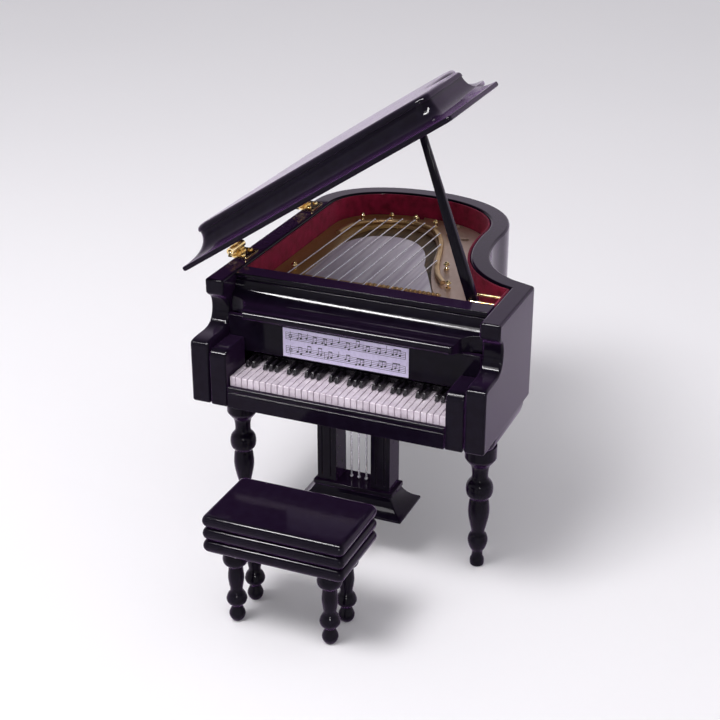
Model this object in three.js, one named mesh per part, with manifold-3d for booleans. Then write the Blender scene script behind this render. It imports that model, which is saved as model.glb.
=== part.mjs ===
// A miniature grand piano with its lid propped open, and its bench. Millimetres, +Z up, keyboard towards -Y.
import * as THREE from 'three';
import { mergeVertices } from 'three/addons/utils/BufferGeometryUtils.js';
import Module from 'manifold-3d';

const wasm = await Module();
wasm.setup();

// ---- driving dimensions -------------------------------------------------------------------------------
const gap = 0.3; // left between pieces that touch
const halfWidth = 60;
const sideLength = 56.2; // the straight right side
const spineLength = 116; // the straight left side
const tailEnd = 149;
const waistX = 31; // where the tail meets the waist curve
const waistY = 108;
const caseBottom = 61.7;
const rimTop = 108;
const wall = 8; // thickness of the rim

const armFront = 14; // front of the arms at the rim's top
const armWaist = 18.5; // deepest point of the scroll
const armShelf = 87.5; // top of the arms' lower part

const keyHalf = 44.4; // half width of the keyboard
const keyslipTop = 70.4;
const keyTop = 74;
const keyFront = 2.2;
const whiteCount = 35;
const nameboardY = 17;
const railY = 24; // front face of the front rail
const railDepth = 8;

const plateTop = 98; // the gold harp plate
const stringZ = 100.4;
const stringCount = 10;
const stringSpacing = 5.5;
const stringLean = 0.03; // sideways run for each millimetre of length

const hingeX = -61; // the lid's hinge axis
const hingeZ = 110.6;
const lidAngle = THREE.MathUtils.degToRad(33.7);
const lidOffset = 3.4; // from the hinge axis to the lid's underside
const lidOverhang = 4.5;
const lidFront = 12.5; // front edge before the overhang
const lidThickness = 12.4;

const propX = 40.2; // the staple's bar, which the stick turns on
const propY = 40;
const propZ = 106.2;
const propLean = THREE.MathUtils.degToRad(19); // from the vertical, towards the hinges

const legX = 51.1;
const legY = 24.4;
const legTop = 53.4;

const benchY = -38.4;
const benchTop = 46.8;
const benchLegTop = 31.3;

const curveSteps = 10;
const turnedSides = 12;

// ---- materials ----------------------------------------------------------------------------------------
const finishes = {
  lacquer: { color: 0x15101a, roughness: 0.12, metalness: 0 },
  velvet: { color: 0x8c1834, roughness: 0.95, metalness: 0 },
  gold: { color: 0xb08a50, roughness: 0.4, metalness: 0.8 },
  brass: { color: 0xc9a24e, roughness: 0.25, metalness: 1 },
  silver: { color: 0xd8d4dc, roughness: 0.25, metalness: 1 },
  sheet: { color: 0xc8bccf, roughness: 0.5, metalness: 0 },
  ivory: { color: 0xe8dce6, roughness: 0.3, metalness: 0 },
  ebony: { color: 0x120d14, roughness: 0.3, metalness: 0 },
  paper: { color: 0xd8d0ec, roughness: 0.6, metalness: 0 },
  wood: { color: 0x6e4a2c, roughness: 0.7, metalness: 0 },
};

const piano = new THREE.Group();

function add(name, geometry, finish, group = piano) {
  const mesh = new THREE.Mesh(geometry, new THREE.MeshStandardMaterial(finishes[finish]));
  mesh.name = name;
  group.add(mesh);
  return mesh;
}

// ---- joining and cutting ------------------------------------------------------------------------------
function solid(geometry) {
  const bare = geometry.clone();
  bare.deleteAttribute('normal');
  bare.deleteAttribute('uv');
  const merged = mergeVertices(bare, 1e-4);
  const vertProperties = new Float32Array(merged.attributes.position.array);
  const triVerts = new Uint32Array(merged.index.array);
  return new wasm.Manifold(new wasm.Mesh({ numProp: 3, vertProperties, triVerts }));
}

function surface(manifold) {
  const { vertProperties, triVerts } = manifold.getMesh();
  const geometry = new THREE.BufferGeometry();
  geometry.setAttribute('position', new THREE.BufferAttribute(new Float32Array(vertProperties), 3));
  geometry.setIndex(new THREE.BufferAttribute(new Uint32Array(triVerts), 1));
  geometry.computeVertexNormals();
  return geometry;
}

// ---- shapes -------------------------------------------------------------------------------------------
function box(x0, x1, y0, y1, z0, z1) {
  const geometry = new THREE.BoxGeometry(x1 - x0, y1 - y0, z1 - z0);
  return geometry.translate((x0 + x1) / 2, (y0 + y1) / 2, (z0 + z1) / 2);
}

/** A plate from z0 to z1 with the given outline seen from above. */
function plate(shape, z0, z1) {
  const geometry = new THREE.ExtrudeGeometry(shape, {
    depth: z1 - z0,
    bevelEnabled: false,
    curveSegments: curveSteps,
  });
  return geometry.translate(0, 0, z0);
}

/** A bar from x0 to x1 whose outline is drawn in Y and Z. */
function barAlongX(shape, x0, x1) {
  const turn = new THREE.Matrix4().makeBasis(
    new THREE.Vector3(0, 1, 0),
    new THREE.Vector3(0, 0, 1),
    new THREE.Vector3(1, 0, 0),
  );
  return plate(shape, x0, x1).applyMatrix4(turn);
}

/** A bar from y0 to y1 whose outline is drawn in X and Z. */
function barAlongY(shape, y0, y1) {
  return plate(shape, -y1, -y0).rotateX(Math.PI / 2);
}

function cylinderAlong(axis, radius, length, sides = 10) {
  const geometry = new THREE.CylinderGeometry(radius, radius, length, sides);
  if (axis === 'x') return geometry.rotateZ(Math.PI / 2);
  if (axis === 'z') return geometry.rotateX(Math.PI / 2);
  return geometry;
}

/** A solid of revolution about Z from [radius, height] pairs that start and end on the axis. */
function turned(profile, sides = turnedSides) {
  const points = profile.map(([radius, height]) => new THREE.Vector2(radius, height));
  return new THREE.LatheGeometry(points, sides).rotateX(Math.PI / 2);
}

/** The piano's outline, counter-clockwise from its front right corner. */
function grandOutline(frontY) {
  const shape = new THREE.Shape();
  shape.moveTo(halfWidth, frontY);
  shape.lineTo(halfWidth, sideLength);
  shape.bezierCurveTo(waistX + 5, sideLength + 6, waistX - 1, waistY - 24, waistX, waistY);
  shape.bezierCurveTo(waistX, waistY + 28, 8, tailEnd, -17, tailEnd);
  shape.bezierCurveTo(-42, tailEnd, -halfWidth, spineLength + 20, -halfWidth, spineLength);
  shape.lineTo(-halfWidth, frontY);
  return shape.getPoints(curveSteps);
}

/** Moves each corner of a counter-clockwise outline inwards, or outwards when inset is negative. */
function insetOutline(points, inset) {
  const count = points.length;
  const inward = (from, to) => {
    const step = to.clone().sub(from).normalize();
    return new THREE.Vector2(-step.y, step.x);
  };
  return points.map((point, i) => {
    const first = inward(points[(i + count - 1) % count], point);
    const second = inward(point, points[(i + 1) % count]);
    const mitre = inset / (1 + first.dot(second));
    return point.clone().add(first.add(second).multiplyScalar(mitre));
  });
}

/** A closed solid through outlines of equal point count, each { points, z }, from the lowest up. */
function loft(rings) {
  const count = rings[0].points.length;
  const positions = rings.flatMap(({ points, z }) => points.flatMap((point) => [point.x, point.y, z]));
  const faces = [];
  for (let ring = 0; ring + 1 < rings.length; ring += 1) {
    for (let i = 0; i < count; i += 1) {
      const a = ring * count + i;
      const b = ring * count + ((i + 1) % count);
      faces.push(a, b, b + count, a, b + count, a + count);
    }
  }
  const top = (rings.length - 1) * count;
  for (const [a, b, c] of THREE.ShapeUtils.triangulateShape(rings[0].points, [])) {
    faces.push(c, b, a);
  }
  for (const [a, b, c] of THREE.ShapeUtils.triangulateShape(rings.at(-1).points, [])) {
    faces.push(top + a, top + b, top + c);
  }
  const geometry = new THREE.BufferGeometry();
  geometry.setAttribute('position', new THREE.Float32BufferAttribute(positions, 3));
  geometry.setIndex(faces);
  geometry.computeVertexNormals();
  return geometry;
}

/** A counter-clockwise rectangle with rounded corners. */
function roundedRectangle(halfX, halfY, radius, centreX = 0, centreY = 0) {
  const shape = new THREE.Shape();
  shape.absarc(centreX + halfX - radius, centreY + halfY - radius, radius, 0, Math.PI / 2);
  shape.absarc(centreX - halfX + radius, centreY + halfY - radius, radius, Math.PI / 2, Math.PI);
  shape.absarc(centreX - halfX + radius, centreY - halfY + radius, radius, Math.PI, Math.PI * 1.5);
  shape.absarc(centreX + halfX - radius, centreY - halfY + radius, radius, Math.PI * 1.5, Math.PI * 2);
  return shape.getPoints(2);
}

// ---- the case -----------------------------------------------------------------------------------------
/** The scroll that the arms' fronts follow, drawn in Y and Z, with everything in front of it. */
function armScroll() {
  const shape = new THREE.Shape();
  const ahead = -10;
  shape.moveTo(ahead, rimTop + 5);
  shape.lineTo(armFront, rimTop + 5);
  shape.lineTo(armFront, 102.6);
  shape.quadraticCurveTo(armFront + 0.4, 101.2, armWaist - 1.2, 99.4);
  shape.bezierCurveTo(armWaist + 0.4, 97, armWaist + 0.4, 92, armWaist - 2, 89.6);
  shape.bezierCurveTo(armWaist - 4.5, armShelf - 0.2, 9, armShelf + 0.6, 4.6, armShelf + 0.4);
  shape.quadraticCurveTo(0.4, armShelf + 0.2, 0, armShelf - 2.5);
  shape.lineTo(0, caseBottom - 5);
  shape.lineTo(ahead, caseBottom - 5);
  return shape;
}

const outline = grandOutline(0);
const interior = insetOutline(grandOutline(-2 * wall), wall);

function rim() {
  const block = solid(plate(new THREE.Shape(outline), caseBottom, rimTop));
  const hollow = solid(plate(new THREE.Shape(interior), caseBottom - 1, rimTop + 1));
  const scroll = solid(barAlongX(armScroll(), -halfWidth - 1, halfWidth + 1));
  return surface(block.subtract(hollow).subtract(scroll));
}

/** A board that fills the case from startY to the tail between two heights. */
function interiorBoard(startY, inset, z0, z1) {
  return plate(new THREE.Shape(insetOutline(grandOutline(startY - wall), wall + inset)), z0, z1);
}

const innerX = halfWidth - wall; // inside face of the rim at the arms
const liningInset = gap + 0.9;

function lining() {
  const outer = insetOutline(grandOutline(railY + railDepth + gap - wall), wall + gap);
  const inner = insetOutline(grandOutline(railY + railDepth + gap - wall), wall + liningInset);
  const wallSolid = solid(plate(new THREE.Shape(outer), plateTop - 1.6, rimTop - 0.6));
  return surface(wallSolid.subtract(solid(plate(new THREE.Shape(inner), plateTop - 3, rimTop + 1))));
}

/** The opening under the strings, seen from above, that ends at y = rear. */
function harpOpening(rear) {
  const shape = new THREE.Shape();
  shape.moveTo(19, 56);
  shape.bezierCurveTo(14, 66, 8, 80, 4, rear - 27);
  shape.bezierCurveTo(0, rear - 10, -8, rear, -19, rear);
  shape.bezierCurveTo(-30, rear, -38, rear - 8, -38, rear - 22);
  shape.lineTo(-38, 56);
  return shape;
}

function harpPlate() {
  const frontY = railY + railDepth + gap;
  let frame = solid(interiorBoard(frontY, liningInset + gap, plateTop - 1.6, plateTop));
  frame = frame.subtract(solid(plate(harpOpening(126.5), plateTop - 3, plateTop + 1)));
  for (const [x, y] of [[-17.5, 138], [1.7, 134], [10, 119.5]]) {
    frame = frame.subtract(solid(cylinderAlong('z', 1.8, 6, 12).translate(x, y, plateTop)));
  }
  return surface(frame);
}

const bridgeRoute = [
  [-43, 104], [-40.5, 118], [-29, 126.5], [-17, 128.2], [-6.5, 124],
  [1, 113], [5.6, 100], [9.2, 87], [13.6, 75], [19, 66.6],
];

/** The raised rib that the strings end on, round the edge of the harp's opening. */
function bridge() {
  const height = 0.75;
  const points = bridgeRoute.map(([x, y]) => new THREE.Vector3(x, y, plateTop + gap + height));
  const path = new THREE.CatmullRomCurve3(points);
  const section = new THREE.Shape();
  section.moveTo(-height, -1.1);
  section.lineTo(height - 0.4, -1.1);
  section.lineTo(height, -0.6);
  section.lineTo(height, 0.6);
  section.lineTo(height - 0.4, 1.1);
  section.lineTo(-height, 1.1);
  return new THREE.ExtrudeGeometry(section, { steps: 28, extrudePath: path, bevelEnabled: false });
}

function bridgeY(x) {
  const next = bridgeRoute.findIndex(([px]) => px > x);
  const [x0, y0] = bridgeRoute[next - 1];
  const [x1, y1] = bridgeRoute[next];
  return y0 + ((x - x0) * (y1 - y0)) / (x1 - x0);
}

/** The strings, joined at the front by the bar that they are wound to. */
function strings() {
  const radius = 0.28;
  const startX = -41.6;
  const barY = railY + railDepth + 3.4;
  const endX = startX + (stringCount - 1) * stringSpacing;
  let comb = solid(box(startX - 1.5, endX + 1.5, barY, barY + 1.4, plateTop + gap, stringZ + 0.3));
  for (let i = 0; i < stringCount; i += 1) {
    const x = startX + i * stringSpacing;
    const length = bridgeY(x + 2) - barY - 0.4;
    const string = cylinderAlong('y', radius, length, 5).rotateZ(-stringLean);
    string.translate(x + (stringLean * length) / 2, barY + length / 2 + 0.4, stringZ);
    comb = comb.add(solid(string));
  }
  return surface(comb);
}

/** A beaded strip along the front of the harp's opening. */
function beadTrim() {
  const x0 = -10.5;
  const x1 = 22.5;
  const pitch = 2;
  const bead = 0.8;
  let strip = solid(box(x0, x1, 52.8, 55.6, plateTop + gap, plateTop + 0.8));
  for (let x = x0 + 1.25; x < x1 - 1; x += pitch) {
    strip = strip.add(solid(cylinderAlong('z', bead, 1, 8).translate(x, 54.2, plateTop + 1.1)));
  }
  return surface(strip);
}

add('rim', rim(), 'lacquer');
add('bottom_board', interiorBoard(railY + 1.5, gap, caseBottom + 0.3, caseBottom + 3.3), 'lacquer');
add('soundboard', interiorBoard(railY + railDepth, gap, plateTop - 5.1, plateTop - 1.9), 'wood');
add('velvet_lining', lining(), 'velvet');
add('harp_plate', harpPlate(), 'gold');
const sheetOutline = insetOutline(harpOpening(113).getPoints(curveSteps), gap);
add('string_sheet', plate(new THREE.Shape(sheetOutline), plateTop - 1.6, plateTop - 0.6), 'sheet');
add('bridge', bridge(), 'gold');
add('strings', strings(), 'silver');
add('bead_trim', beadTrim(), 'gold');

const hitchPins = [
  [-40.6, 125.4], [-28.6, 130.6], [-17.3, 131.6], [-7.2, 129], [1.8, 121.4], [14.8, 82.6], [22.4, 63.4],
  [-42.6, 58.4],
];
hitchPins.forEach(([x, y], i) => {
  const pin = turned(
    [[0, 0], [1.1, 0], [1.1, 0.5], [0.5, 0.9], [0.5, 1.9], [0.9, 2.4], [0.9, 3], [0, 3.4]],
    8,
  );
  add(`hitch_pin_${i + 1}`, pin.translate(x, y, plateTop + gap), 'brass');
});

// ---- the front of the case ----------------------------------------------------------------------------
function frontRail() {
  const top = rimTop;
  const face = railY;
  const back = railY + railDepth;
  const shape = new THREE.Shape();
  shape.moveTo(face + 0.8, 96);
  shape.lineTo(back, 96);
  shape.lineTo(back, top);
  shape.lineTo(face + 0.2, top);
  shape.lineTo(face, top - 0.3);
  shape.lineTo(face, top - 1.3);
  shape.lineTo(face + 0.8, top - 1.5);
  return barAlongX(shape, -innerX + gap, innerX - gap);
}

/** The fallboard folded back over the keys: a hollow-fronted rail that swells into a rounded lip. */
function fallboard() {
  const back = railY + 0.5;
  const profile = new THREE.Shape();
  profile.moveTo(back, 93.6);
  profile.lineTo(back, 101.6);
  profile.quadraticCurveTo(railY - 1.2, 99.9, 19, 99.2);
  profile.lineTo(12.6, 98.3);
  profile.absarc(11.6, 96.7, 1.8, Math.PI / 2, Math.PI * 1.5);
  profile.lineTo(13.6, 94.9);
  profile.lineTo(14.2, 93.6);
  const plan = new THREE.Shape();
  plan.moveTo(innerX - gap, 28);
  plan.lineTo(-innerX + gap, 28);
  plan.lineTo(-innerX + gap, 20);
  plan.quadraticCurveTo(-innerX + 7, 19.5, -43.5, 16);
  plan.quadraticCurveTo(-42.5, 9, -39, 9);
  plan.lineTo(39, 9);
  plan.quadraticCurveTo(42.5, 9, 43.5, 16);
  plan.quadraticCurveTo(innerX - 7, 19.5, innerX - gap, 20);
  const bar = solid(barAlongX(profile, -innerX - 1, innerX + 1));
  return surface(bar.intersect(solid(plate(plan, 90, 104))));
}

/** The block at each end of the keyboard, with a rounded top front edge. */
function keyBlock(side) {
  const shape = new THREE.Shape();
  const top = 85;
  shape.moveTo(0, caseBottom);
  shape.lineTo(nameboardY - gap, caseBottom);
  shape.lineTo(nameboardY - gap, top);
  shape.lineTo(3.5, top);
  shape.absarc(3.5, top - 3.5, 3.5, Math.PI / 2, Math.PI);
  const x0 = keyHalf + gap;
  const x1 = innerX - gap;
  return side > 0 ? barAlongX(shape, x0, x1) : barAlongX(shape, -x1, -x0);
}

/** White keys: one row of fronts parted by narrow grooves. */
function whiteKeys() {
  const groove = 0.3;
  const pitch = (2 * keyHalf) / whiteCount;
  const shape = new THREE.Shape();
  const floor = keyTop - 2;
  shape.moveTo(-keyHalf, keyslipTop - 1);
  shape.lineTo(keyHalf, keyslipTop - 1);
  for (let i = whiteCount; i > 0; i -= 1) {
    const right = -keyHalf + i * pitch - groove / 2;
    const left = right - pitch + groove;
    shape.lineTo(right, i === whiteCount ? keyTop - 0.01 : floor);
    shape.lineTo(right, keyTop);
    shape.lineTo(left, keyTop);
    if (i > 1) shape.lineTo(left, floor);
  }
  return barAlongY(shape, keyFront, 22.5);
}

/** Black keys in groups of two and three, joined behind the nameboard. */
function blackKeys() {
  const pitch = (2 * keyHalf) / whiteCount;
  const z0 = keyTop + gap;
  const z1 = keyTop + 2.6;
  const halfKey = 0.75;
  let comb = solid(box(-keyHalf + 1, keyHalf - 1, 20.4, 22.4, z0, z1));
  for (let white = 0; white < whiteCount; white += 1) {
    const step = white % 7;
    if (step === 2 || step === 6) continue;
    const x = -keyHalf + (white + 1) * pitch;
    comb = comb.add(solid(box(x - halfKey, x + halfKey, 12, 21, z0, z1)));
  }
  return surface(comb);
}

function keyslip() {
  const shape = new THREE.Shape();
  shape.moveTo(0, caseBottom);
  shape.lineTo(keyFront - gap, caseBottom);
  shape.lineTo(keyFront - gap, keyslipTop);
  shape.lineTo(0.6, keyslipTop);
  shape.absarc(0.6, keyslipTop - 0.6, 0.6, Math.PI / 2, Math.PI);
  return barAlongX(shape, -keyHalf, keyHalf);
}

add('front_rail', frontRail(), 'lacquer');
add(
  'belly_rail',
  box(-innerX + gap, innerX - gap, railY + 2, railY + railDepth - 0.4, 65.4, 92.4),
  'lacquer',
);
add('fallboard', fallboard(), 'lacquer');
add('nameboard', box(-innerX + gap, innerX - gap, nameboardY, nameboardY + 2.6, 79, 93.3), 'lacquer');
add('music_label', box(-28, 24, nameboardY - 0.6, nameboardY - gap, 79.8, 91.8), 'paper');
add('key_bed', box(-keyHalf, keyHalf, keyFront, railY + 1.4, caseBottom + 0.3, keyslipTop - 1.3), 'lacquer');
add('key_slip', keyslip(), 'lacquer');
add('key_block_left', keyBlock(-1), 'lacquer');
add('key_block_right', keyBlock(1), 'lacquer');
add('white_keys', whiteKeys(), 'ivory');
add('black_keys', blackKeys(), 'ebony');

// ---- legs and lyre ------------------------------------------------------------------------------------
const pianoLegProfile = [
  [0, 0], [2.4, 0], [2.8, 0.7], [2.8, 2.6], [2.2, 4], [2.2, 6.4], [3.6, 8.8], [3.95, 11.4], [3.5, 13.4],
  [2.6, 15], [3.3, 18], [4.1, 22.5], [4.1, 27], [3.9, 30], [5, 32], [5.35, 34.3], [5, 36.6], [3.3, 39.2],
  [3.2, 42], [3.9, 44.8], [5.7, 47], [6.2, 48.2], [6.2, legTop], [0, legTop],
];

/** A pad under the case that a leg is glued to, with its lower edges rounded off. */
function legBlock(name, x, y, halfX, halfY) {
  const top = caseBottom - gap;
  const bottom = legTop + gap;
  const rings = [[5, bottom], [2.4, bottom + 1], [0.9, bottom + 2.8], [0, top - 1.4], [0, top]];
  add(name, loft(rings.map(([inset, z]) => ({
    points: roundedRectangle(halfX - inset, halfY - inset, 3, x, y),
    z,
  }))), 'lacquer');
}

legBlock('leg_block_left', -49.6, 33.5, 9.6, 20);
legBlock('leg_block_right', 49.6, 33.5, 9.6, 20);
legBlock('leg_block_rear', -14, 124, 12, 12);
add('leg_front_left', turned(pianoLegProfile).translate(-legX, legY, 0), 'lacquer');
add('leg_front_right', turned(pianoLegProfile).translate(legX, legY, 0), 'lacquer');
add('leg_rear', turned(pianoLegProfile).translate(-14, 124, 0), 'lacquer');

const lyreY = 24.7;
const lyreBaseTop = 26.6;
const lyreBaseBottom = 17.4;
const lyreRings = [
  [22.7, 11.4, lyreBaseBottom], [22.6, 11.3, lyreBaseBottom + 0.8], [19.6, 8.7, 20.6],
  [17.5, 6.9, 23], [16.4, 5.9, 24.9], [16.9, 6.3, 25.2], [16.9, 6.3, lyreBaseTop],
];
add('lyre_base', loft(lyreRings.map(([halfX, halfY, z]) => ({
  points: roundedRectangle(halfX, halfY, 0.4, 0, lyreY),
  z,
}))), 'lacquer');
for (const [name, x] of [['left', -11.45], ['right', 11.45]]) {
  const post = box(x - 4.05, x + 4.05, 19.6, 29.8, lyreBaseTop + gap, caseBottom - gap);
  add(`lyre_post_${name}`, post, 'lacquer');
}
[['left', -3.2], ['middle', 0], ['right', 3.2]].forEach(([name, x]) => {
  const length = caseBottom - lyreBaseTop - 2 * gap;
  const rod = cylinderAlong('z', 0.4, length, 8);
  add(`pedal_rod_${name}`, rod.translate(x, 25.5, lyreBaseTop + gap + length / 2), 'silver');
  const pedal = plate(new THREE.Shape(roundedRectangle(1.1, 3.4, 1, x, 9.4)), 18.4, 19.4);
  add(`pedal_${name}`, pedal, 'brass');
});

// ---- the prop stick -----------------------------------------------------------------------------------
const wireRadius = 0.45;
const liningX = innerX - liningInset - gap;

/** The stick tapers from its foot to its tip, and turns on the staple's bar. */
function propStick() {
  const below = 2.4;
  const underside = lidOffset - 0.35;
  const normal = new THREE.Vector2(-Math.sin(lidAngle), Math.cos(lidAngle));
  const along = new THREE.Vector2(-Math.sin(propLean), Math.cos(propLean));
  const pivot = new THREE.Vector2(propX - hingeX, propZ - hingeZ);
  const length = (underside - pivot.dot(normal)) / along.dot(normal);
  const rings = [[1.5, -below], [2.1, 0.7 - below], [2.1, 8], [1.3, length - 0.8]];
  const stick = loft(rings.map(([half, z]) => ({ points: roundedRectangle(half, half * 0.8, 0.5), z })));
  const hole = solid(cylinderAlong('y', wireRadius + 0.1, 12, 12));
  return surface(solid(stick.rotateY(-propLean)).subtract(hole)).translate(propX, propY, propZ);
}

/** A round wire bent into a U. Its two ends go into the right wall. */
function propStaple() {
  const reach = 3.8;
  const bend = 1;
  const corners = [
    [liningX, -reach], [propX + bend, -reach], [propX, bend - reach],
    [propX, reach - bend], [propX + bend, reach], [liningX, reach],
  ];
  const path = new THREE.CurvePath();
  for (let i = 1; i < corners.length; i += 1) {
    const [from, to] = [corners[i - 1], corners[i]].map(([x, y]) => new THREE.Vector3(x, propY + y, propZ));
    path.add(new THREE.LineCurve3(from, to));
  }
  const ring = new THREE.Path().absarc(0, 0, wireRadius, 0, Math.PI * 2).getPoints(4).slice(1);
  const section = new THREE.Shape(ring);
  return new THREE.ExtrudeGeometry(section, { steps: 30, extrudePath: path, bevelEnabled: false });
}

add('prop_stick', propStick(), 'lacquer');
add('prop_staple', propStaple(), 'brass');
const socketY = railY + railDepth + liningInset + gap;
add(
  'prop_socket',
  box(propX - 3.2, propX + 3.4, socketY, propY - 2.3, plateTop + gap, propZ - 1),
  'lacquer',
);

// ---- the lid and its hinges ---------------------------------------------------------------------------
const lidGroup = new THREE.Group();
lidGroup.position.set(hingeX, 0, hingeZ);
lidGroup.rotation.y = -lidAngle;
piano.add(lidGroup);

/** The lid's edge is a thin rounded lip, and above it a deep hollow moulding climbs to a bead and the top. */
function lid() {
  const edge = insetOutline(grandOutline(lidFront), -lidOverhang);
  const lip = 2;
  const beadFoot = 9.8;
  const rise = [
    [0.8, 0], [0, 0.8], [0, lip - 0.5], [0.5, lip],
    [2.6, lip + 0.4], [4.8, lip + 1.2], [6.7, lip + 2.7], [8, lip + 4.9], [8.5, beadFoot],
    [8.2, beadFoot + 0.3], [8.3, beadFoot + 1.3], [9, lidThickness - 0.5], [10.2, lidThickness],
  ];
  return loft(rise.map(([inset, z]) => ({ points: insetOutline(edge, inset), z }))).translate(
    -hingeX, 0, lidOffset);
}
add('lid', lid(), 'lacquer', lidGroup);

const knuckle = 1.5;
const leafThickness = 0.8;
const leafLength = 11;
const leafReach = 7.6;
const knuckleSlots = [[-leafLength / 2, -1.9], [-1.6, 1.6], [1.9, leafLength / 2]];

/** One hinge leaf: its plate, the web to the axis and the knuckles listed in slots. */
function hingeLeaf(plateZ, slots) {
  const half = leafLength / 2;
  const webTop = Math.sign(plateZ) > 0 ? plateZ + leafThickness : plateZ;
  let leaf = solid(box(-0.9, leafReach, -half, half, plateZ, plateZ + leafThickness));
  for (const [y0, y1] of slots) {
    const barrel = cylinderAlong('y', knuckle, y1 - y0, 12).translate(0, (y0 + y1) / 2, 0);
    leaf = leaf.add(solid(barrel));
    leaf = leaf.add(solid(box(-0.9, 0.9, y0, y1, Math.min(webTop, 0), Math.max(webTop, 0))));
  }
  return leaf.subtract(solid(cylinderAlong('y', 0.66, leafLength + 2, 12)));
}

for (const [name, y] of [['front', 43], ['rear', 106]]) {
  const caseLeafZ = rimTop + gap - hingeZ;
  const caseLeaf = surface(hingeLeaf(caseLeafZ, [knuckleSlots[0], knuckleSlots[2]]));
  add(`hinge_${name}_case_leaf`, caseLeaf.translate(hingeX, y, hingeZ), 'brass');
  const pin = cylinderAlong('y', 0.55, leafLength + 1, 8);
  add(`hinge_${name}_pin`, pin.translate(hingeX, y, hingeZ), 'brass');
  const lidLeaf = surface(hingeLeaf(lidOffset - gap - leafThickness, [knuckleSlots[1]]));
  add(`hinge_${name}_lid_leaf`, lidLeaf.translate(0, y, 0), 'brass', lidGroup);
}

// ---- the bench ----------------------------------------------------------------------------------------
const benchLegProfile = [
  [0, 0], [2, 0], [2.9, 1.4], [3.05, 3], [2.1, 5.4], [2.1, 6.4],
  [3.5, 7.6], [3.9, 9.2], [3.3, 11], [2.3, 12.6],
  [3, 18], [2.7, 22.6], [4.4, 24.6], [4.7, 26.5], [3.9, 28.8], [3.9, benchLegTop], [0, benchLegTop],
];
const slabThickness = (benchTop - benchLegTop) / 3;
['lower', 'middle', 'upper'].forEach((name, i) => {
  const bottom = benchLegTop + gap + i * slabThickness;
  const top = bottom + slabThickness - gap;
  const rings = [[1.3, bottom], [0.3, bottom + 1], [0, (bottom + top) / 2], [0.3, top - 1], [1.3, top]];
  add(`bench_slab_${name}`, loft(rings.map(([inset, z]) => ({
    points: roundedRectangle(27.8 - inset, 16.4 - inset, 1.5, 0, benchY),
    z,
  }))), 'lacquer');
});
for (const [name, x, y] of [
  ['front_left', -18.9, -7.5],
  ['front_right', 18.9, -7.5],
  ['rear_left', -18.9, 7.5],
  ['rear_right', 18.9, 7.5],
]) {
  add(`bench_leg_${name}`, turned(benchLegProfile, 12).translate(x, benchY + y, 0), 'lacquer');
}

// ---- the origin sits at the middle of the underside ---------------------------------------------------
piano.updateMatrixWorld(true);
const extent = new THREE.Box3().setFromObject(piano, true);
piano.position.set(-(extent.min.x + extent.max.x) / 2, -(extent.min.y + extent.max.y) / 2, -extent.min.z);

export default piano;
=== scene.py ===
"""A miniature grand piano and its bench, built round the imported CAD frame. Shapes are drawn in
millimetres in the piano's own coordinates: X across from the case's middle, Y back from its front,
Z up from the floor."""
import math
import random

import bmesh
import bpy
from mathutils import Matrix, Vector


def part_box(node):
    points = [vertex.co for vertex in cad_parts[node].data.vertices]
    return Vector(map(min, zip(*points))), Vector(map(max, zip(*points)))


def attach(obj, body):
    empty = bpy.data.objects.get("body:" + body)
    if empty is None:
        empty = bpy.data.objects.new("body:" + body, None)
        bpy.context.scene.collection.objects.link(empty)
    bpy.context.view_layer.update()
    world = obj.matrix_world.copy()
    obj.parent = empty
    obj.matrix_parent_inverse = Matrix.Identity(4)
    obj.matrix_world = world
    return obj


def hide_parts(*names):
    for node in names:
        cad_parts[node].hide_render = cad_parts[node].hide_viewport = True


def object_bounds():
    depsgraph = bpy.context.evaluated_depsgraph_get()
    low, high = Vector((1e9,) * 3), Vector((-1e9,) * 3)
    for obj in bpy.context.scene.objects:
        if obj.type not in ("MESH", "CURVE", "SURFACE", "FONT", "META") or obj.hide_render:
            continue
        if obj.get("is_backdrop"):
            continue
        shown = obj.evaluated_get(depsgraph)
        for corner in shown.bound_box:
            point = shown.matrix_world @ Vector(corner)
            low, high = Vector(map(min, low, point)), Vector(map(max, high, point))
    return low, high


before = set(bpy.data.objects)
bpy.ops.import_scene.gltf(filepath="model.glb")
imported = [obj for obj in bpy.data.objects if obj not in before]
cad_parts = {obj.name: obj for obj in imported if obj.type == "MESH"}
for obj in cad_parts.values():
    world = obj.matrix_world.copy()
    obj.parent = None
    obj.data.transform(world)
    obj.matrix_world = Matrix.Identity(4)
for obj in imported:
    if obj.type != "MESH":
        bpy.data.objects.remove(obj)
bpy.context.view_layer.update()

# ---- the frame's dimensions, in millimetres ------------------------------------------------------
MM = 0.001
rim_low, rim_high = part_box("rim")
ORIGIN = Vector(((rim_low.x + rim_high.x) / 2, rim_low.y, 0))


def at(x, y, z):
    """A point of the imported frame, in metres, from the piano's millimetres."""
    return ORIGIN + Vector((x, y, z)) * MM


def cad_box(node):
    """A CAD node's (x0, x1, y0, y1, z0, z1) in the piano's millimetres."""
    low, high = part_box(node)
    low, high = (low - ORIGIN) / MM, (high - ORIGIN) / MM
    return low.x, high.x, low.y, high.y, low.z, high.z


GAP = 0.3
HALF_WIDTH = cad_box("rim")[1]
CASE_BOTTOM, RIM_TOP = cad_box("rim")[4:]
SIDE_LENGTH = 56.2
SPINE_LENGTH = 116
TAIL_END = cad_box("rim")[3]
WAIST_X, WAIST_Y = 31, 108
WALL = 8
INNER_X = HALF_WIDTH - WALL
RAIL_Y = cad_box("front_rail")[2]
RAIL_BACK = cad_box("front_rail")[3]
KEY_HALF = -cad_box("white_keys")[0]
PLATE_TOP = cad_box("harp_plate")[5]
PLATE_THICKNESS = 1.6
LINING = 1.2

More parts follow.
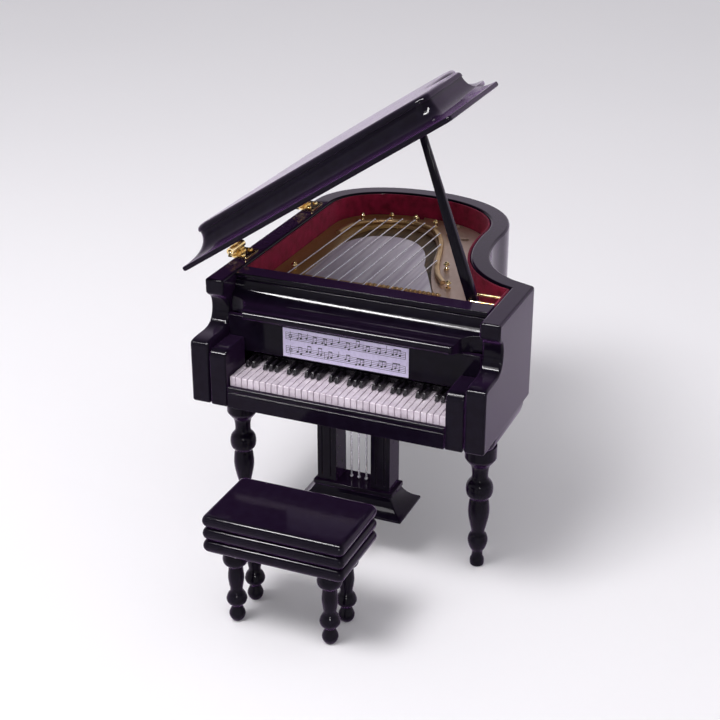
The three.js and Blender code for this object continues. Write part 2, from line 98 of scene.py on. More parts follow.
HINGE_X, HINGE_Z = -61, 110.6
LID_ANGLE = math.radians(33.7)
LID_OFFSET = 3.4
LID_FRONT = 12.5
LID_OVERHANG = 4.5
LID_THICKNESS = 12.4
LID_LIP = 2
BEAD_FOOT = 9.8

PROP = (40.2, 40, 106.2)
PROP_LEAN = math.radians(19)

# ---- materials -----------------------------------------------------------------------------------


def shader(name, base, roughness, metallic=0.0, **sockets):
    """A material with a Principled shader, with its node tree and that shader."""
    made = bpy.data.materials.new(name)
    made.use_nodes = True
    tree = made.node_tree
    bsdf = tree.nodes["Principled BSDF"]
    bsdf.inputs["Base Color"].default_value = (*base, 1)
    bsdf.inputs["Roughness"].default_value = roughness
    bsdf.inputs["Metallic"].default_value = metallic
    for key, value in sockets.items():
        bsdf.inputs[key.replace("_", " ")].default_value = value
    made.diffuse_color = (*base, 1)
    return made, tree, bsdf


def noise(tree, scale, detail=3.0, stretch=(1, 1, 1)):
    """Noise over the object's own coordinates. scale is in features for each metre."""
    coords = tree.nodes.new("ShaderNodeTexCoord")
    mapping = tree.nodes.new("ShaderNodeMapping")
    mapping.inputs["Scale"].default_value = stretch
    texture = tree.nodes.new("ShaderNodeTexNoise")
    texture.inputs["Scale"].default_value = scale
    texture.inputs["Detail"].default_value = detail
    tree.links.new(coords.outputs["Object"], mapping.inputs["Vector"])
    tree.links.new(mapping.outputs["Vector"], texture.inputs["Vector"])
    return texture.outputs["Fac"]


def vary_color(tree, bsdf, factor, dark, light, low=0.35, high=0.65):
    """Base colour between two colours as the noise runs from low to high."""
    ramp = tree.nodes.new("ShaderNodeValToRGB")
    ramp.color_ramp.elements[0].position = low
    ramp.color_ramp.elements[1].position = high
    ramp.color_ramp.elements[0].color = (*dark, 1)
    ramp.color_ramp.elements[1].color = (*light, 1)
    tree.links.new(factor, ramp.inputs["Fac"])
    tree.links.new(ramp.outputs["Color"], bsdf.inputs["Base Color"])


def vary_roughness(tree, bsdf, factor, smooth, rough):
    spread = tree.nodes.new("ShaderNodeMapRange")
    spread.inputs["From Min"].default_value = 0.3
    spread.inputs["From Max"].default_value = 0.7
    spread.inputs["To Min"].default_value = smooth
    spread.inputs["To Max"].default_value = rough
    tree.links.new(factor, spread.inputs["Value"])
    tree.links.new(spread.outputs["Result"], bsdf.inputs["Roughness"])


def add_bump(tree, bsdf, height, strength, distance_mm):
    bump = tree.nodes.new("ShaderNodeBump")
    bump.inputs["Strength"].default_value = strength
    bump.inputs["Distance"].default_value = distance_mm * MM
    tree.links.new(height, bump.inputs["Height"])
    tree.links.new(bump.outputs["Normal"], bsdf.inputs["Normal"])


def lacquer_material():
    """Thick black lacquer: nearly a mirror, with a faint orange peel, a polishing haze in its roughness, and
    a purple sheen at grazing angles that is a painted reflection of the surroundings.
    """
    made, tree, bsdf = shader(
        "lacquer", (0.004, 0.003, 0.006), 0.07, Specular_IOR_Level=0.09,
        # The purple sheen tint is a painted reflection: it stands in for the purple-grey that the
        # surroundings give the lacquer at grazing angles.
        Sheen_Weight=0.34, Sheen_Roughness=0.4, Sheen_Tint=(0.42, 0.16, 0.58, 1),
    )
    vary_color(tree, bsdf, noise(tree, 260), (0.003, 0.002, 0.005), (0.0045, 0.0035, 0.008))
    vary_roughness(tree, bsdf, noise(tree, 260, 4), 0.06, 0.12)
    add_bump(tree, bsdf, noise(tree, 420, 2), 0.05, 0.25)
    return made


def velvet_material():
    """Crimson flock: a soft pile that catches light at its edges."""
    made, tree, bsdf = shader(
        "velvet", (0.26, 0.008, 0.035), 0.95, Sheen_Weight=0.5, Sheen_Roughness=0.5,
        Sheen_Tint=(0.95, 0.22, 0.36, 1), Specular_IOR_Level=0.1,
    )
    vary_color(tree, bsdf, noise(tree, 260, 6), (0.13, 0.003, 0.016), (0.31, 0.01, 0.046), 0.3, 0.72)
    add_bump(tree, bsdf, noise(tree, 3200, 4), 0.7, 0.25)
    return made


def gold_material():
    """Satin gold paint on the harp."""
    made, tree, bsdf = shader("gold_paint", (0.5, 0.32, 0.13), 0.34, 0.75)
    vary_color(tree, bsdf, noise(tree, 70, 3), (0.42, 0.25, 0.09), (0.66, 0.45, 0.24))
    vary_roughness(tree, bsdf, noise(tree, 900, 3), 0.26, 0.46)
    add_bump(tree, bsdf, noise(tree, 1800, 3), 0.15, 0.1)
    return made


def plate_material():
    """The harp's gold paint with a painted reflection across it: the colour turns from gold on the bass side
    to a pinkish beige on the treble side, where the satin paint mirrors the pale surroundings.
    """
    made, tree, bsdf = shader("harp_paint", (0.55, 0.38, 0.22), 0.36, 0.45)
    # Painted reflection: the base colour runs from gold to pinkish beige along X, standing in for the
    # surroundings mirrored on the treble side.
    coords = tree.nodes.new("ShaderNodeTexCoord")
    split = tree.nodes.new("ShaderNodeSeparateXYZ")
    across = tree.nodes.new("ShaderNodeMapRange")
    across.inputs["From Min"].default_value = at(-30, 0, 0).x
    across.inputs["From Max"].default_value = at(18, 0, 0).x
    tree.links.new(coords.outputs["Object"], split.inputs["Vector"])
    tree.links.new(split.outputs["X"], across.inputs["Value"])
    vary_color(tree, bsdf, across.outputs["Result"], (0.46, 0.28, 0.1), (0.62, 0.45, 0.38), 0.1, 0.9)
    vary_roughness(tree, bsdf, noise(tree, 700, 3), 0.3, 0.48)
    add_bump(tree, bsdf, noise(tree, 1500, 3), 0.12, 0.1)
    return made


def brass_material():
    """Polished brass with a little tarnish."""
    made, tree, bsdf = shader("polished_brass", (0.82, 0.6, 0.27), 0.16, 1.0)
    vary_color(tree, bsdf, noise(tree, 500, 4), (0.66, 0.43, 0.13), (0.94, 0.78, 0.46), 0.3, 0.62)
    vary_roughness(tree, bsdf, noise(tree, 1400, 3), 0.08, 0.22)
    return made


def silver_material():
    """Bright drawn wire."""
    made, tree, bsdf = shader("bright_wire", (0.82, 0.8, 0.86), 0.25, 0.6)
    vary_color(tree, bsdf, noise(tree, 900, 2), (0.7, 0.68, 0.76), (0.92, 0.9, 0.96))
    vary_roughness(tree, bsdf, noise(tree, 2600, 2), 0.18, 0.34)
    return made


def sheet_material():
    """The pale satin sheet under the strings, with fine streaks along them."""
    made, tree, bsdf = shader("satin_sheet", (0.8, 0.72, 0.84), 0.36, 0.35)
    streaks = noise(tree, 420, 4, (1, 0.06, 1))
    vary_color(tree, bsdf, streaks, (0.62, 0.54, 0.67), (0.93, 0.87, 0.97))
    add_bump(tree, bsdf, streaks, 0.12, 0.1)
    return made


def ivory_material():
    made, tree, bsdf = shader("white_key", (0.7, 0.62, 0.69), 0.3, Specular_IOR_Level=0.4)
    vary_color(tree, bsdf, noise(tree, 240, 4), (0.62, 0.54, 0.61), (0.76, 0.68, 0.75))
    vary_roughness(tree, bsdf, noise(tree, 900, 3), 0.24, 0.42)
    return made


def ebony_material():
    made, tree, bsdf = shader("black_key", (0.008, 0.006, 0.01), 0.3, Specular_IOR_Level=0.35)
    vary_color(tree, bsdf, noise(tree, 900, 3), (0.005, 0.004, 0.006), (0.014, 0.01, 0.017))
    vary_roughness(tree, bsdf, noise(tree, 1600, 3), 0.2, 0.4)
    return made


def paper_material():
    made, tree, bsdf = shader("label_paper", (0.62, 0.57, 0.76), 0.6, Specular_IOR_Level=0.3)
    vary_color(tree, bsdf, noise(tree, 900, 4), (0.58, 0.53, 0.72), (0.66, 0.61, 0.8))
    add_bump(tree, bsdf, noise(tree, 4000, 3), 0.1, 0.05)
    return made


def ink_material():
    made, tree, bsdf = shader("label_ink", (0.01, 0.008, 0.014), 0.55)
    vary_color(tree, bsdf, noise(tree, 2500, 2), (0.006, 0.005, 0.01), (0.02, 0.016, 0.026))
    return made


def wood_material():
    """Stained wood with its grain along the strings."""
    made, tree, bsdf = shader("stained_wood", (0.14, 0.08, 0.03), 0.55)
    grain = noise(tree, 500, 5, (1, 0.08, 1))
    vary_color(tree, bsdf, grain, (0.07, 0.035, 0.012), (0.24, 0.14, 0.055))
    add_bump(tree, bsdf, grain, 0.2, 0.1)
    return made


LACQUER = lacquer_material()
VELVET = velvet_material()
GOLD = gold_material()
HARP = plate_material()
BRASS = brass_material()
SILVER = silver_material()
SHEET = sheet_material()
IVORY = ivory_material()
EBONY = ebony_material()
PAPER = paper_material()
INK = ink_material()
WOOD = wood_material()

# ---- shapes --------------------------------------------------------------------------------------


def bezier(p0, p1, p2, p3, steps):
    """Points along a cubic curve, without its last one."""
    points = []
    for i in range(steps):
        t = i / steps
        u = 1 - t
        weights = (u ** 3, 3 * u * u * t, 3 * u * t * t, t ** 3)
        axes = zip(p0, p1, p2, p3)
        points.append(tuple(sum(w * value for w, value in zip(weights, values)) for values in axes))
    return points


def arc(centre, radius, start, end, steps):
    """Points round an arc in degrees, with both ends."""
    angles = [math.radians(start + (end - start) * i / steps) for i in range(steps + 1)]
    return [(centre[0] + radius * math.cos(a), centre[1] + radius * math.sin(a)) for a in angles]


def grand_outline(front, steps=28):
    """The piano seen from above, counter-clockwise from its front right corner. The first curve's
    points next to the corner are left out, so that the corner can be moved in past them."""
    w, x, y = HALF_WIDTH, WAIST_X, WAIST_Y
    points = [(w, front), (w, (front + SIDE_LENGTH) / 2), (w, SIDE_LENGTH)]
    points += bezier((w, SIDE_LENGTH), (x + 5, SIDE_LENGTH + 6), (x - 1, y - 24), (x, y), steps)[4:]
    points += bezier((x, y), (x, y + 28), (8, TAIL_END), (-17, TAIL_END), steps)
    points += bezier((-17, TAIL_END), (-42, TAIL_END), (-w, SPINE_LENGTH + 20), (-w, SPINE_LENGTH), steps)
    points += [(-w, SPINE_LENGTH), (-w, front)]
    return points


def inset(points, distance):
    """Every corner of a counter-clockwise outline moved inwards, or outwards when distance is negative."""
    def inward(a, b):
        length = math.hypot(b[0] - a[0], b[1] - a[1])
        return -(b[1] - a[1]) / length, (b[0] - a[0]) / length

    moved = []
    for i, point in enumerate(points):
        n1 = inward(points[i - 1], point)
        n2 = inward(point, points[(i + 1) % len(points)])
        mitre = distance / (1 + n1[0] * n2[0] + n1[1] * n2[1])
        moved.append((point[0] + (n1[0] + n2[0]) * mitre, point[1] + (n1[1] + n2[1]) * mitre))
    return moved


def rounded_rectangle(half_x, half_y, radius, centre=(0, 0), steps=5):
    x, y = centre
    points = []
    for sx, sy, start in ((1, 1, 0), (-1, 1, 90), (-1, -1, 180), (1, -1, 270)):
        corner = (x + sx * (half_x - radius), y + sy * (half_y - radius))
        points += arc(corner, radius, start, start + 90, steps)
    return points


def loft(rings):
    """A closed solid through rings of equal point count, lowest first, counter-clockwise from above."""
    count = len(rings[0])
    verts = [point for ring in rings for point in ring]
    faces = []
    for ring in range(len(rings) - 1):
        for i in range(count):
            a, b = ring * count + i, ring * count + (i + 1) % count
            faces.append((a, b, b + count, a + count))
    faces.append(tuple(reversed(range(count))))
    faces.append(tuple(range((len(rings) - 1) * count, len(rings) * count)))
    return verts, faces


def slab(outline, z0, z1):
    return loft([[(x, y, z) for x, y in outline] for z in (z0, z1)])


def bar_x(profile, x0, x1):
    """A bar along X with a counter-clockwise (y, z) profile."""
    return loft([[(x, y, z) for y, z in profile] for x in (x0, x1)])


def box(x0, x1, y0, y1, z0, z1):
    return slab([(x0, y0), (x1, y0), (x1, y1), (x0, y1)], z0, z1)


def ring_wall(outer, inner, z_levels):
    """The wall between two outlines of equal point count, with an edge loop at each height."""
    count = len(outer)
    verts = [(x, y, z) for z in z_levels for x, y in outer] + [(x, y, z) for z in z_levels for x, y in inner]
    inside = count * len(z_levels)
    last = count * (len(z_levels) - 1)
    faces = []
    for i in range(count):
        j = (i + 1) % count
        for level in range(len(z_levels) - 1):
            row = level * count
            faces.append((row + i, row + j, row + j + count, row + i + count))
            a, b = inside + row + j, inside + row + i
            faces.append((a, b, b + count, a + count))
        faces.append((last + i, last + j, inside + last + j, inside + last + i))
        faces.append((j, i, inside + i, inside + j))
    return verts, faces


def smooth_curve(points, steps=8):
    """A Catmull-Rom curve through the points, of any dimension, with both ends."""
    padded = [points[0]] + list(points) + [points[-1]]
    curve = []
    for i in range(1, len(padded) - 2):
        p0, p1, p2, p3 = padded[i - 1:i + 3]
        for s in range(steps):
            t = s / steps
            curve.append(tuple(
                0.5 * (
                    2 * b + (c - a) * t
                    + (2 * a - 5 * b + 4 * c - d) * t * t
                    + (3 * b - a - 3 * c + d) * t ** 3
                )
                for a, b, c, d in zip(p0, p1, p2, p3)
            ))
    curve.append(tuple(points[-1]))
    return curve


def turned(profile, centre=(0, 0), sides=48, steps=5):
    """A turned piece from (radius, height) points: smooth between points, flat at both ends."""
    curve = smooth_curve(profile, steps)
    rings = []
    for radius, z in curve:
        rings.append([(centre[0] + x, centre[1] + y, z) for x, y in circle(radius, sides)])
    return loft(rings)


def sweep(path, section):
    """A bar along a 3-D path. section is a counter-clockwise outline of (sideways, up) offsets."""
    points = [Vector(p) for p in path]
    rings = []
    up = Vector((0, 0, 1))
    for i, point in enumerate(points):
        ahead = (points[min(i + 1, len(points) - 1)] - points[max(i - 1, 0)]).normalized()
        side = ahead.cross(up)
        side = side.normalized() if side.length > 0.05 else Vector((1, 0, 0))
        rise = side.cross(ahead)
        rings.append([tuple(point + side * a + rise * b) for a, b in section])
    return loft(rings)


def circle(radius, sides=14):
    angles = [2 * math.pi * i / sides for i in range(sides)]
    return [(radius * math.cos(a), radius * math.sin(a)) for a in angles]


def rod(start, end, radius, sides=14):
    return sweep([start, end], circle(radius, sides))


def ball(centre, radius, squash=1.0, sides=20, rows=10):
    """A ball, flattened along Z by squash."""
    rings = []
    for row in range(1, rows):
        a = -math.pi / 2 + math.pi * row / rows
        r, z = radius * math.cos(a), radius * squash * math.sin(a)
        rings.append([(centre[0] + x, centre[1] + y, centre[2] + z) for x, y in circle(r, sides)])
    return loft(rings)


def torus(centre, radius, wire, lean=0.0, sides=24, wire_sides=10):
    """A wire ring that lies flat, or leans about X by lean radians."""
    verts, faces = [], []
    for i in range(sides):
        a = 2 * math.pi * i / sides
        for j in range(wire_sides):
            b = 2 * math.pi * j / wire_sides
            r = radius + wire * math.cos(b)
            x, y, z = r * math.cos(a), r * math.sin(a), wire * math.sin(b)
            y, z = y * math.cos(lean) - z * math.sin(lean), y * math.sin(lean) + z * math.cos(lean)
            verts.append((centre[0] + x, centre[1] + y, centre[2] + z))
            n, m = (i + 1) % sides, (j + 1) % wire_sides
            faces.append((i * wire_sides + j, n * wire_sides + j, n * wire_sides + m, i * wire_sides + m))
    return verts, faces


def merge(*shapes):
    verts, faces = [], []
    for more_verts, more_faces in shapes:
        base = len(verts)
        verts += more_verts
        faces += [tuple(base + i for i in face) for face in more_faces]
    return verts, faces


def moved(shape, place):
    return [place(*v) for v in shape[0]], shape[1]


def tilted(x, y, z):
    """Turns a point about the lid's hinge axis. z is measured from the axis."""
    dx = x - HINGE_X
    return (
        HINGE_X + dx * math.cos(LID_ANGLE) - z * math.sin(LID_ANGLE),
        y,
        HINGE_Z + dx * math.sin(LID_ANGLE) + z * math.cos(LID_ANGLE),
    )


def raw_object(name, shape):
    mesh = bpy.data.meshes.new(name)
    mesh.from_pydata([at(*v) for v in shape[0]], [], shape[1])
    mesh.validate()
    bm = bmesh.new()
    bm.from_mesh(mesh)
    bmesh.ops.recalc_face_normals(bm, faces=bm.faces)
    bm.to_mesh(mesh)
    bm.free()
    made = bpy.data.objects.new(name, mesh)
    bpy.context.scene.collection.objects.link(made)
    return made


def cut(shape, *tools, operation="DIFFERENCE"):
    """The shape with each tool taken away from it, or intersected with it."""
    base = raw_object("cut_base", shape)
    others = [raw_object("cut_tool", tool) for tool in tools]
    for other in others:
        modifier = base.modifiers.new("cut", "BOOLEAN")
        modifier.operation = operation
        modifier.object = other
        modifier.solver = "EXACT"
    evaluated = base.evaluated_get(bpy.context.evaluated_depsgraph_get())
    mesh = evaluated.to_mesh()
    verts = [tuple((v.co - ORIGIN) / MM) for v in mesh.vertices]
    faces = [tuple(p.vertices) for p in mesh.polygons]
    evaluated.to_mesh_clear()
    for old in [base] + others:
        data = old.data
        bpy.data.objects.remove(old)
        bpy.data.meshes.remove(data)
    return verts, faces


def piece(name, shape, material, body, nodes=(), bevel=0.0, segments=3, sharp=32):
    """Makes a visible piece that rides on a body and stands for CAD nodes. bevel is in millimetres."""
    made = raw_object(name, shape)
    made.data.materials.append(material)
    made.data.shade_smooth()
    made.data.set_sharp_from_angle(angle=math.radians(sharp))
    if bevel:
        modifier = made.modifiers.new("edges", "BEVEL")
        modifier.width = bevel * MM
        modifier.segments = segments
        modifier.limit_method = "ANGLE"
        modifier.angle_limit = math.radians(sharp)
        modifier.harden_normals = True
        modifier.use_clamp_overlap = True
    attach(made, body)
    if nodes:
        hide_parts(*nodes)
    return made


def keep(node, material):
    """A CAD node that stays, with a better material."""
    for material_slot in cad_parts[node].material_slots:
        material_slot.material = material


def centre_of(x0, x1, y0, y1):
    return (x0 + x1) / 2, (y0 + y1) / 2


# ---- the case ------------------------------------------------------------------------------------
SCROLL = (
    [(-10, RIM_TOP + 5), (-10, CASE_BOTTOM - 5), (0, CASE_BOTTOM - 5)]
    + bezier((0, 85), (0.1, 87.2), (0.6, 87.7), (4.6, 87.9), 8)
    + bezier((4.6, 87.9), (9, 88.1), (14, 87.3), (16.5, 89.6), 12)
    + bezier((16.5, 89.6), (18.9, 92), (18.9, 97), (17.3, 99.4), 14)
    + bezier((17.3, 99.4), (15.6, 101), (14.1, 101.2), (14, 102.8), 8)
    + [(14, 102.8), (14, RIM_TOP + 5)]
)

outline = grand_outline(0)
interior = inset(grand_outline(-2 * WALL), WALL)
rim = cut(
    slab(outline, CASE_BOTTOM, RIM_TOP),
    slab(interior, CASE_BOTTOM - 1, RIM_TOP + 1),
    bar_x(SCROLL, -HALF_WIDTH - 1, HALF_WIDTH + 1),
)
piece("case_rim", rim, LACQUER, "piano", ["rim"], bevel=1.1, segments=4)


def lining_outline(distance):
    return inset(grand_outline(RAIL_BACK + GAP - WALL), WALL + distance)


lining = ring_wall(lining_outline(GAP), lining_outline(LINING), [96.4, 100, 104, 107, 107.4])
piece("velvet_wall", lining, VELVET, "piano", ["velvet_lining"], bevel=0.3)
keep("soundboard", WOOD)
keep("bottom_board", LACQUER)
keep("belly_rail", LACQUER)
keep("key_bed", LACQUER)

# ---- the harp ------------------------------------------------------------------------------------


def harp_opening(rear, steps=20):
    """The opening under the strings, that ends at y = rear."""
    return (
        bezier((19, 56), (14, 66), (8, 80), (4, rear - 27), steps)
        + bezier((4, rear - 27), (0, rear - 10), (-8, rear), (-19, rear), steps)
        + bezier((-19, rear), (-30, rear), (-38, rear - 8), (-38, rear - 22), steps)
        + [(-38, rear - 22), (-38, 56)]
    )


OPENING_REAR = 126.5
SHEET_REAR = 113
SHEET_DROP = 0.6
SOUND_HOLES = ((-17.5, 138), (1.7, 134), (10, 119.5))
SOUND_HOLE_RADIUS = 1.8


def through_plate(outline):
    """A cutter that goes right through the plate."""
    return slab(outline, PLATE_TOP - 3, PLATE_TOP + 1)


def sound_hole(x, y):
    return [(x + SOUND_HOLE_RADIUS * c, y + SOUND_HOLE_RADIUS * s) for c, s in circle(1, 24)]


harp = cut(
    slab(lining_outline(LINING + GAP), PLATE_TOP - PLATE_THICKNESS, PLATE_TOP),
    through_plate(harp_opening(OPENING_REAR)),
    *[through_plate(sound_hole(x, y)) for x, y in SOUND_HOLES],
)
piece("harp", harp, HARP, "piano", ["harp_plate"], bevel=0.35)
sheet_outline = inset(harp_opening(SHEET_REAR), GAP)
sheet = slab(sheet_outline, PLATE_TOP - PLATE_THICKNESS, PLATE_TOP - SHEET_DROP)
piece("satin_sheet", sheet, SHEET, "piano", ["string_sheet"], bevel=0.15)

BRIDGE = [
    (-43, 104), (-40.5, 118), (-29, 126.5), (-17, 128.2), (-6.5, 124),
    (1, 113), (5.6, 100), (9.2, 87), (13.6, 75), (19, 66.6),
]
BRIDGE_HALF_HEIGHT = 0.75
bridge_path = [(x, y, PLATE_TOP + GAP + BRIDGE_HALF_HEIGHT) for x, y in smooth_curve(BRIDGE, 8)]
bridge_section = rounded_rectangle(1.1, BRIDGE_HALF_HEIGHT, 0.45, steps=3)
piece("harp_rib", sweep(bridge_path, bridge_section), GOLD, "piano", ["bridge"])

STRING_Z = 100.4
STRING_START = -41.6
STRING_SPACING = 5.5
STRING_LEAN = 0.03
STRING_COUNT = 10
STRING_RADIUS = 0.26
BAR_Y = RAIL_BACK + 3.4
BAR_DEPTH = 1.4


def bridge_y(x):
    """Where the bridge lies behind a string, from front to back."""
    for (x0, y0), (x1, y1) in zip(BRIDGE, BRIDGE[1:]):
        if x0 <= x <= x1:
            return y0 + (x - x0) * (y1 - y0) / (x1 - x0)
    return BRIDGE[-1][1]


string_parts = [
    box(STRING_START - 1.5, STRING_START + 51, BAR_Y, BAR_Y + BAR_DEPTH, PLATE_TOP + GAP, STRING_Z + 0.3),
]
for i in range(STRING_COUNT):
    x = STRING_START + i * STRING_SPACING
    length = bridge_y(x + 2) - BAR_Y
    end = (x + STRING_LEAN * length, BAR_Y + length, STRING_Z)
    string_parts.append(rod((x, BAR_Y + 0.7, STRING_Z), end, STRING_RADIUS, 10))
    string_parts.append(ball(end, 0.5, 0.8, 12, 6))
    string_parts.append(torus((x, BAR_Y + 1.6, STRING_Z), 0.42, 0.16, math.pi / 2, 14, 6))
piece("string_set", merge(*string_parts), SILVER, "piano", ["strings"])

EYELET_RADIUS = 1.0
EYELET_WIRE = 0.3
pin_nodes = [f"hitch_pin_{i}" for i in range(1, 9)]
pins = []
for node in pin_nodes:
    x0, x1, y0, y1, z0, z1 = cad_box(node)
    x, y = centre_of(x0, x1, y0, y1)
    profile = [
        (1.1, z0), (1.1, z0 + 0.45), (0.5, z0 + 0.8), (0.45, z0 + 2.0),
        (0.85, z0 + 2.5), (0.8, z0 + 3.1), (0.2, z1),
    ]
    pins.append(turned(profile, (x, y), 24, 4))
    pins.append(torus((x, y, z0 + 2.3), EYELET_RADIUS, EYELET_WIRE, 0.0, 24, 8))
piece("eyelet_pins", merge(*pins), BRASS, "piano", pin_nodes)

BEAD_COUNT = 17
BEAD_MARGIN = 1.25
x0, x1, y0, y1, z0, z1 = cad_box("bead_trim")
strip = rounded_rectangle((x1 - x0) / 2, (y1 - y0) / 2, 0.5, centre_of(x0, x1, y0, y1))
trim_parts = [slab(strip, z0, z0 + 0.5)]
for i in range(BEAD_COUNT):
    x = x0 + BEAD_MARGIN + i * (x1 - x0 - 2 * BEAD_MARGIN) / (BEAD_COUNT - 1)
    trim_parts.append(ball((x, (y0 + y1) / 2, z0 + 0.55), 0.85, 0.9, 16, 8))
piece("beads", merge(*trim_parts), GOLD, "piano", ["bead_trim"])

# ---- the front of the case -----------------------------------------------------------------------
front_rail = [
    (RAIL_Y + 0.8, 96), (RAIL_BACK, 96), (RAIL_BACK, RIM_TOP), (RAIL_Y + 0.2, RIM_TOP),
    (RAIL_Y, RIM_TOP - 0.3), (RAIL_Y, RIM_TOP - 1.3), (RAIL_Y + 0.8, RIM_TOP - 1.5),
]
rail = bar_x(front_rail, -INNER_X + GAP, INNER_X - GAP)
piece("rail", rail, LACQUER, "piano", ["front_rail"], bevel=0.25)

fall_back = RAIL_Y + 0.5
fall_profile = (
    [(fall_back, 105.4), (fall_back - 0.4, 105.4)]
    + bezier((fall_back - 0.5, 105.2), (23.4, 102), (21.4, 99.9), (17.5, 99.3), 14)
    + bezier((17.5, 99.3), (15.6, 99.1), (14.2, 98.9), (12.6, 98.3), 6)
    + arc((11.6, 96.7), 1.8, 66, 262, 12)
    + [(14.2, 94.2), (16, 93.6), (fall_back, 93.6)]
)
fall_plan = (
    [(INNER_X - GAP, 28), (-INNER_X + GAP, 28)]
    + bezier((-INNER_X + GAP, 20), (-INNER_X + 5, 19.8), (-44, 18.2), (-43.6, 15), 8)
    + bezier((-43.6, 15), (-43.2, 11), (-42.5, 9), (-39, 9), 6)
    + bezier((39, 9), (42.5, 9), (43.2, 11), (43.6, 15), 6)
    + bezier((43.6, 15), (44, 18.2), (INNER_X - 5, 19.8), (INNER_X - GAP, 20), 8)
    + [(INNER_X - GAP, 20)]
)
fall = cut(bar_x(fall_profile, -INNER_X - 1, INNER_X + 1), slab(fall_plan, 90, 107), operation="INTERSECT")
piece("fallboard_lip", fall, LACQUER, "piano", ["fallboard"], bevel=0.5, segments=4)

x0, x1, y0, y1, z0, z1 = cad_box("nameboard")
name_profile = [(y0, z0), (y1, z0), (y1, z1), (y0, z1)]
piece("name_panel", bar_x(name_profile, x0, x1), LACQUER, "piano", ["nameboard"], bevel=0.25)

for side, name in ((-1, "left"), (1, "right")):
    x0, x1, y0, y1, z0, z1 = cad_box(f"key_block_{name}")
    profile = [(0, z0), (y1, z0), (y1, z1)] + arc((3.5, z1 - 3.5), 3.5, 90, 180, 10)
    piece(f"cheek_{name}", bar_x(profile, x0, x1), LACQUER, "piano", [f"key_block_{name}"],
          bevel=0.6, segments=4)

x0, x1, y0, y1, z0, z1 = cad_box("key_slip")
slip_profile = (
    [(0, z0), (y1, z0), (y1, z1)] + arc((0.6, z1 - 0.6), 0.6, 90, 180, 6)
    + [(0, z1 - 1.7), (0.35, z1 - 1.9), (0.35, z1 - 2.3), (0, z1 - 2.5)]
)
piece("slip", bar_x(slip_profile, x0, x1), LACQUER, "piano", ["key_slip"], bevel=0.15)

WHITE_COUNT = 35
OCTAVE = 7
NO_BLACK_AFTER = (2, 6)
KEY_GAP = 0.26
PITCH = 2 * KEY_HALF / WHITE_COUNT
x0, x1, y0, y1, z0, z1 = cad_box("white_keys")
whites = []
for i in range(WHITE_COUNT):
    left = x0 + i * PITCH + KEY_GAP / 2
    whites.append(box(left, left + PITCH - KEY_GAP, y0 + 0.1, y1, z0, z1))
piece("ivories", merge(*whites), IVORY, "piano", ["white_keys"], bevel=0.22, segments=3)

keys_left = x0
x0, x1, y0, y1, z0, z1 = cad_box("black_keys")
blacks = [box(x0, x1, y1 - 2, y1, z0, z1)]
for white in range(WHITE_COUNT):
    if white % OCTAVE in NO_BLACK_AFTER:
        continue
    x = keys_left + (white + 1) * PITCH
    foot = [(x - 0.75, y0), (x + 0.75, y0), (x + 0.75, y1 - 1), (x - 0.75, y1 - 1)]
    crown = [(x - 0.5, y0 + 0.9), (x + 0.5, y0 + 0.9), (x + 0.5, y1 - 1), (x - 0.5, y1 - 1)]
    blacks.append(loft([[(*p, z0) for p in foot], [(*p, z1) for p in crown]]))
piece("ebonies", merge(*blacks), EBONY, "piano", ["black_keys"], bevel=0.16, segments=2)

# ---- the label: two lines of made-up notes -------------------------------------------------------
keep("music_label", PAPER)
x0, x1, y0, y1, z0, z1 = cad_box("music_label")
INK_DEPTH = 0.03


def ink(left, right, low, high):
    """A printed bar on the label's face."""
    return box(left, right, y0 - INK_DEPTH, y0, low, high)


def note_head(x, z):
    """An oval that leans to the right."""
    turn = math.radians(20)
    points = []
    for cosine, sine in circle(1, 12):
        across, up = 0.5 * cosine, 0.36 * sine
        points.append((x + across * math.cos(turn) - up * math.sin(turn),
                       z + across * math.sin(turn) + up * math.cos(turn)))
    return loft([[(px, y, pz) for px, pz in points] for y in (y0, y0 - INK_DEPTH)])


random.seed(7)
marks = []
STAVE_GAP = 0.72
STAVE_MARGIN = 1.2
LINE_HALF = 0.075
STROKE = 0.16
NOTE_PITCH = 1.45
STEM = 2.5
for middle in (z1 - 3.1, z0 + 3.1):
    for line in range(-2, 3):
        z = middle + line * STAVE_GAP
        marks.append(ink(x0 + STAVE_MARGIN, x1 - STAVE_MARGIN, z - LINE_HALF, z + LINE_HALF))
    low, high = middle - 2 * STAVE_GAP, middle + 2 * STAVE_GAP
    for x in (x0 + STAVE_MARGIN, x0 + 17.5, x0 + 33.5, x1 - 1.3):
        marks.append(ink(x, x + STROKE, low, high))
    marks.append(torus((x0 + 3.2, y0 - 0.015, middle), 0.62, 0.12, math.pi / 2, 16, 4))
    marks.append(ink(x0 + 3.1, x0 + 3.25, low - 0.6, high + 0.6))
    x = x0 + 6.2
    while x < x1 - 3.5:
        group = random.choice((1, 2, 2, 3))
        base = middle + random.choice((-1.5, -1, -0.5, 0, 0.5)) * STAVE_GAP
        stem_top = base + STEM
        for k in range(group):
            head = base + random.choice((-0.36, 0, 0.36))
            note_x = x + NOTE_PITCH * k
            marks.append(note_head(note_x, head))
            marks.append(ink(note_x + 0.3, note_x + 0.3 + STROKE, head, stem_top))
        if group > 1:
            beam_end = x + NOTE_PITCH * (group - 1) + 0.3 + STROKE
            marks.append(ink(x + 0.3, beam_end, stem_top - 0.42, stem_top))
        x += NOTE_PITCH * group + random.uniform(0.9, 1.9)
piece("notes", merge(*marks), INK, "piano")

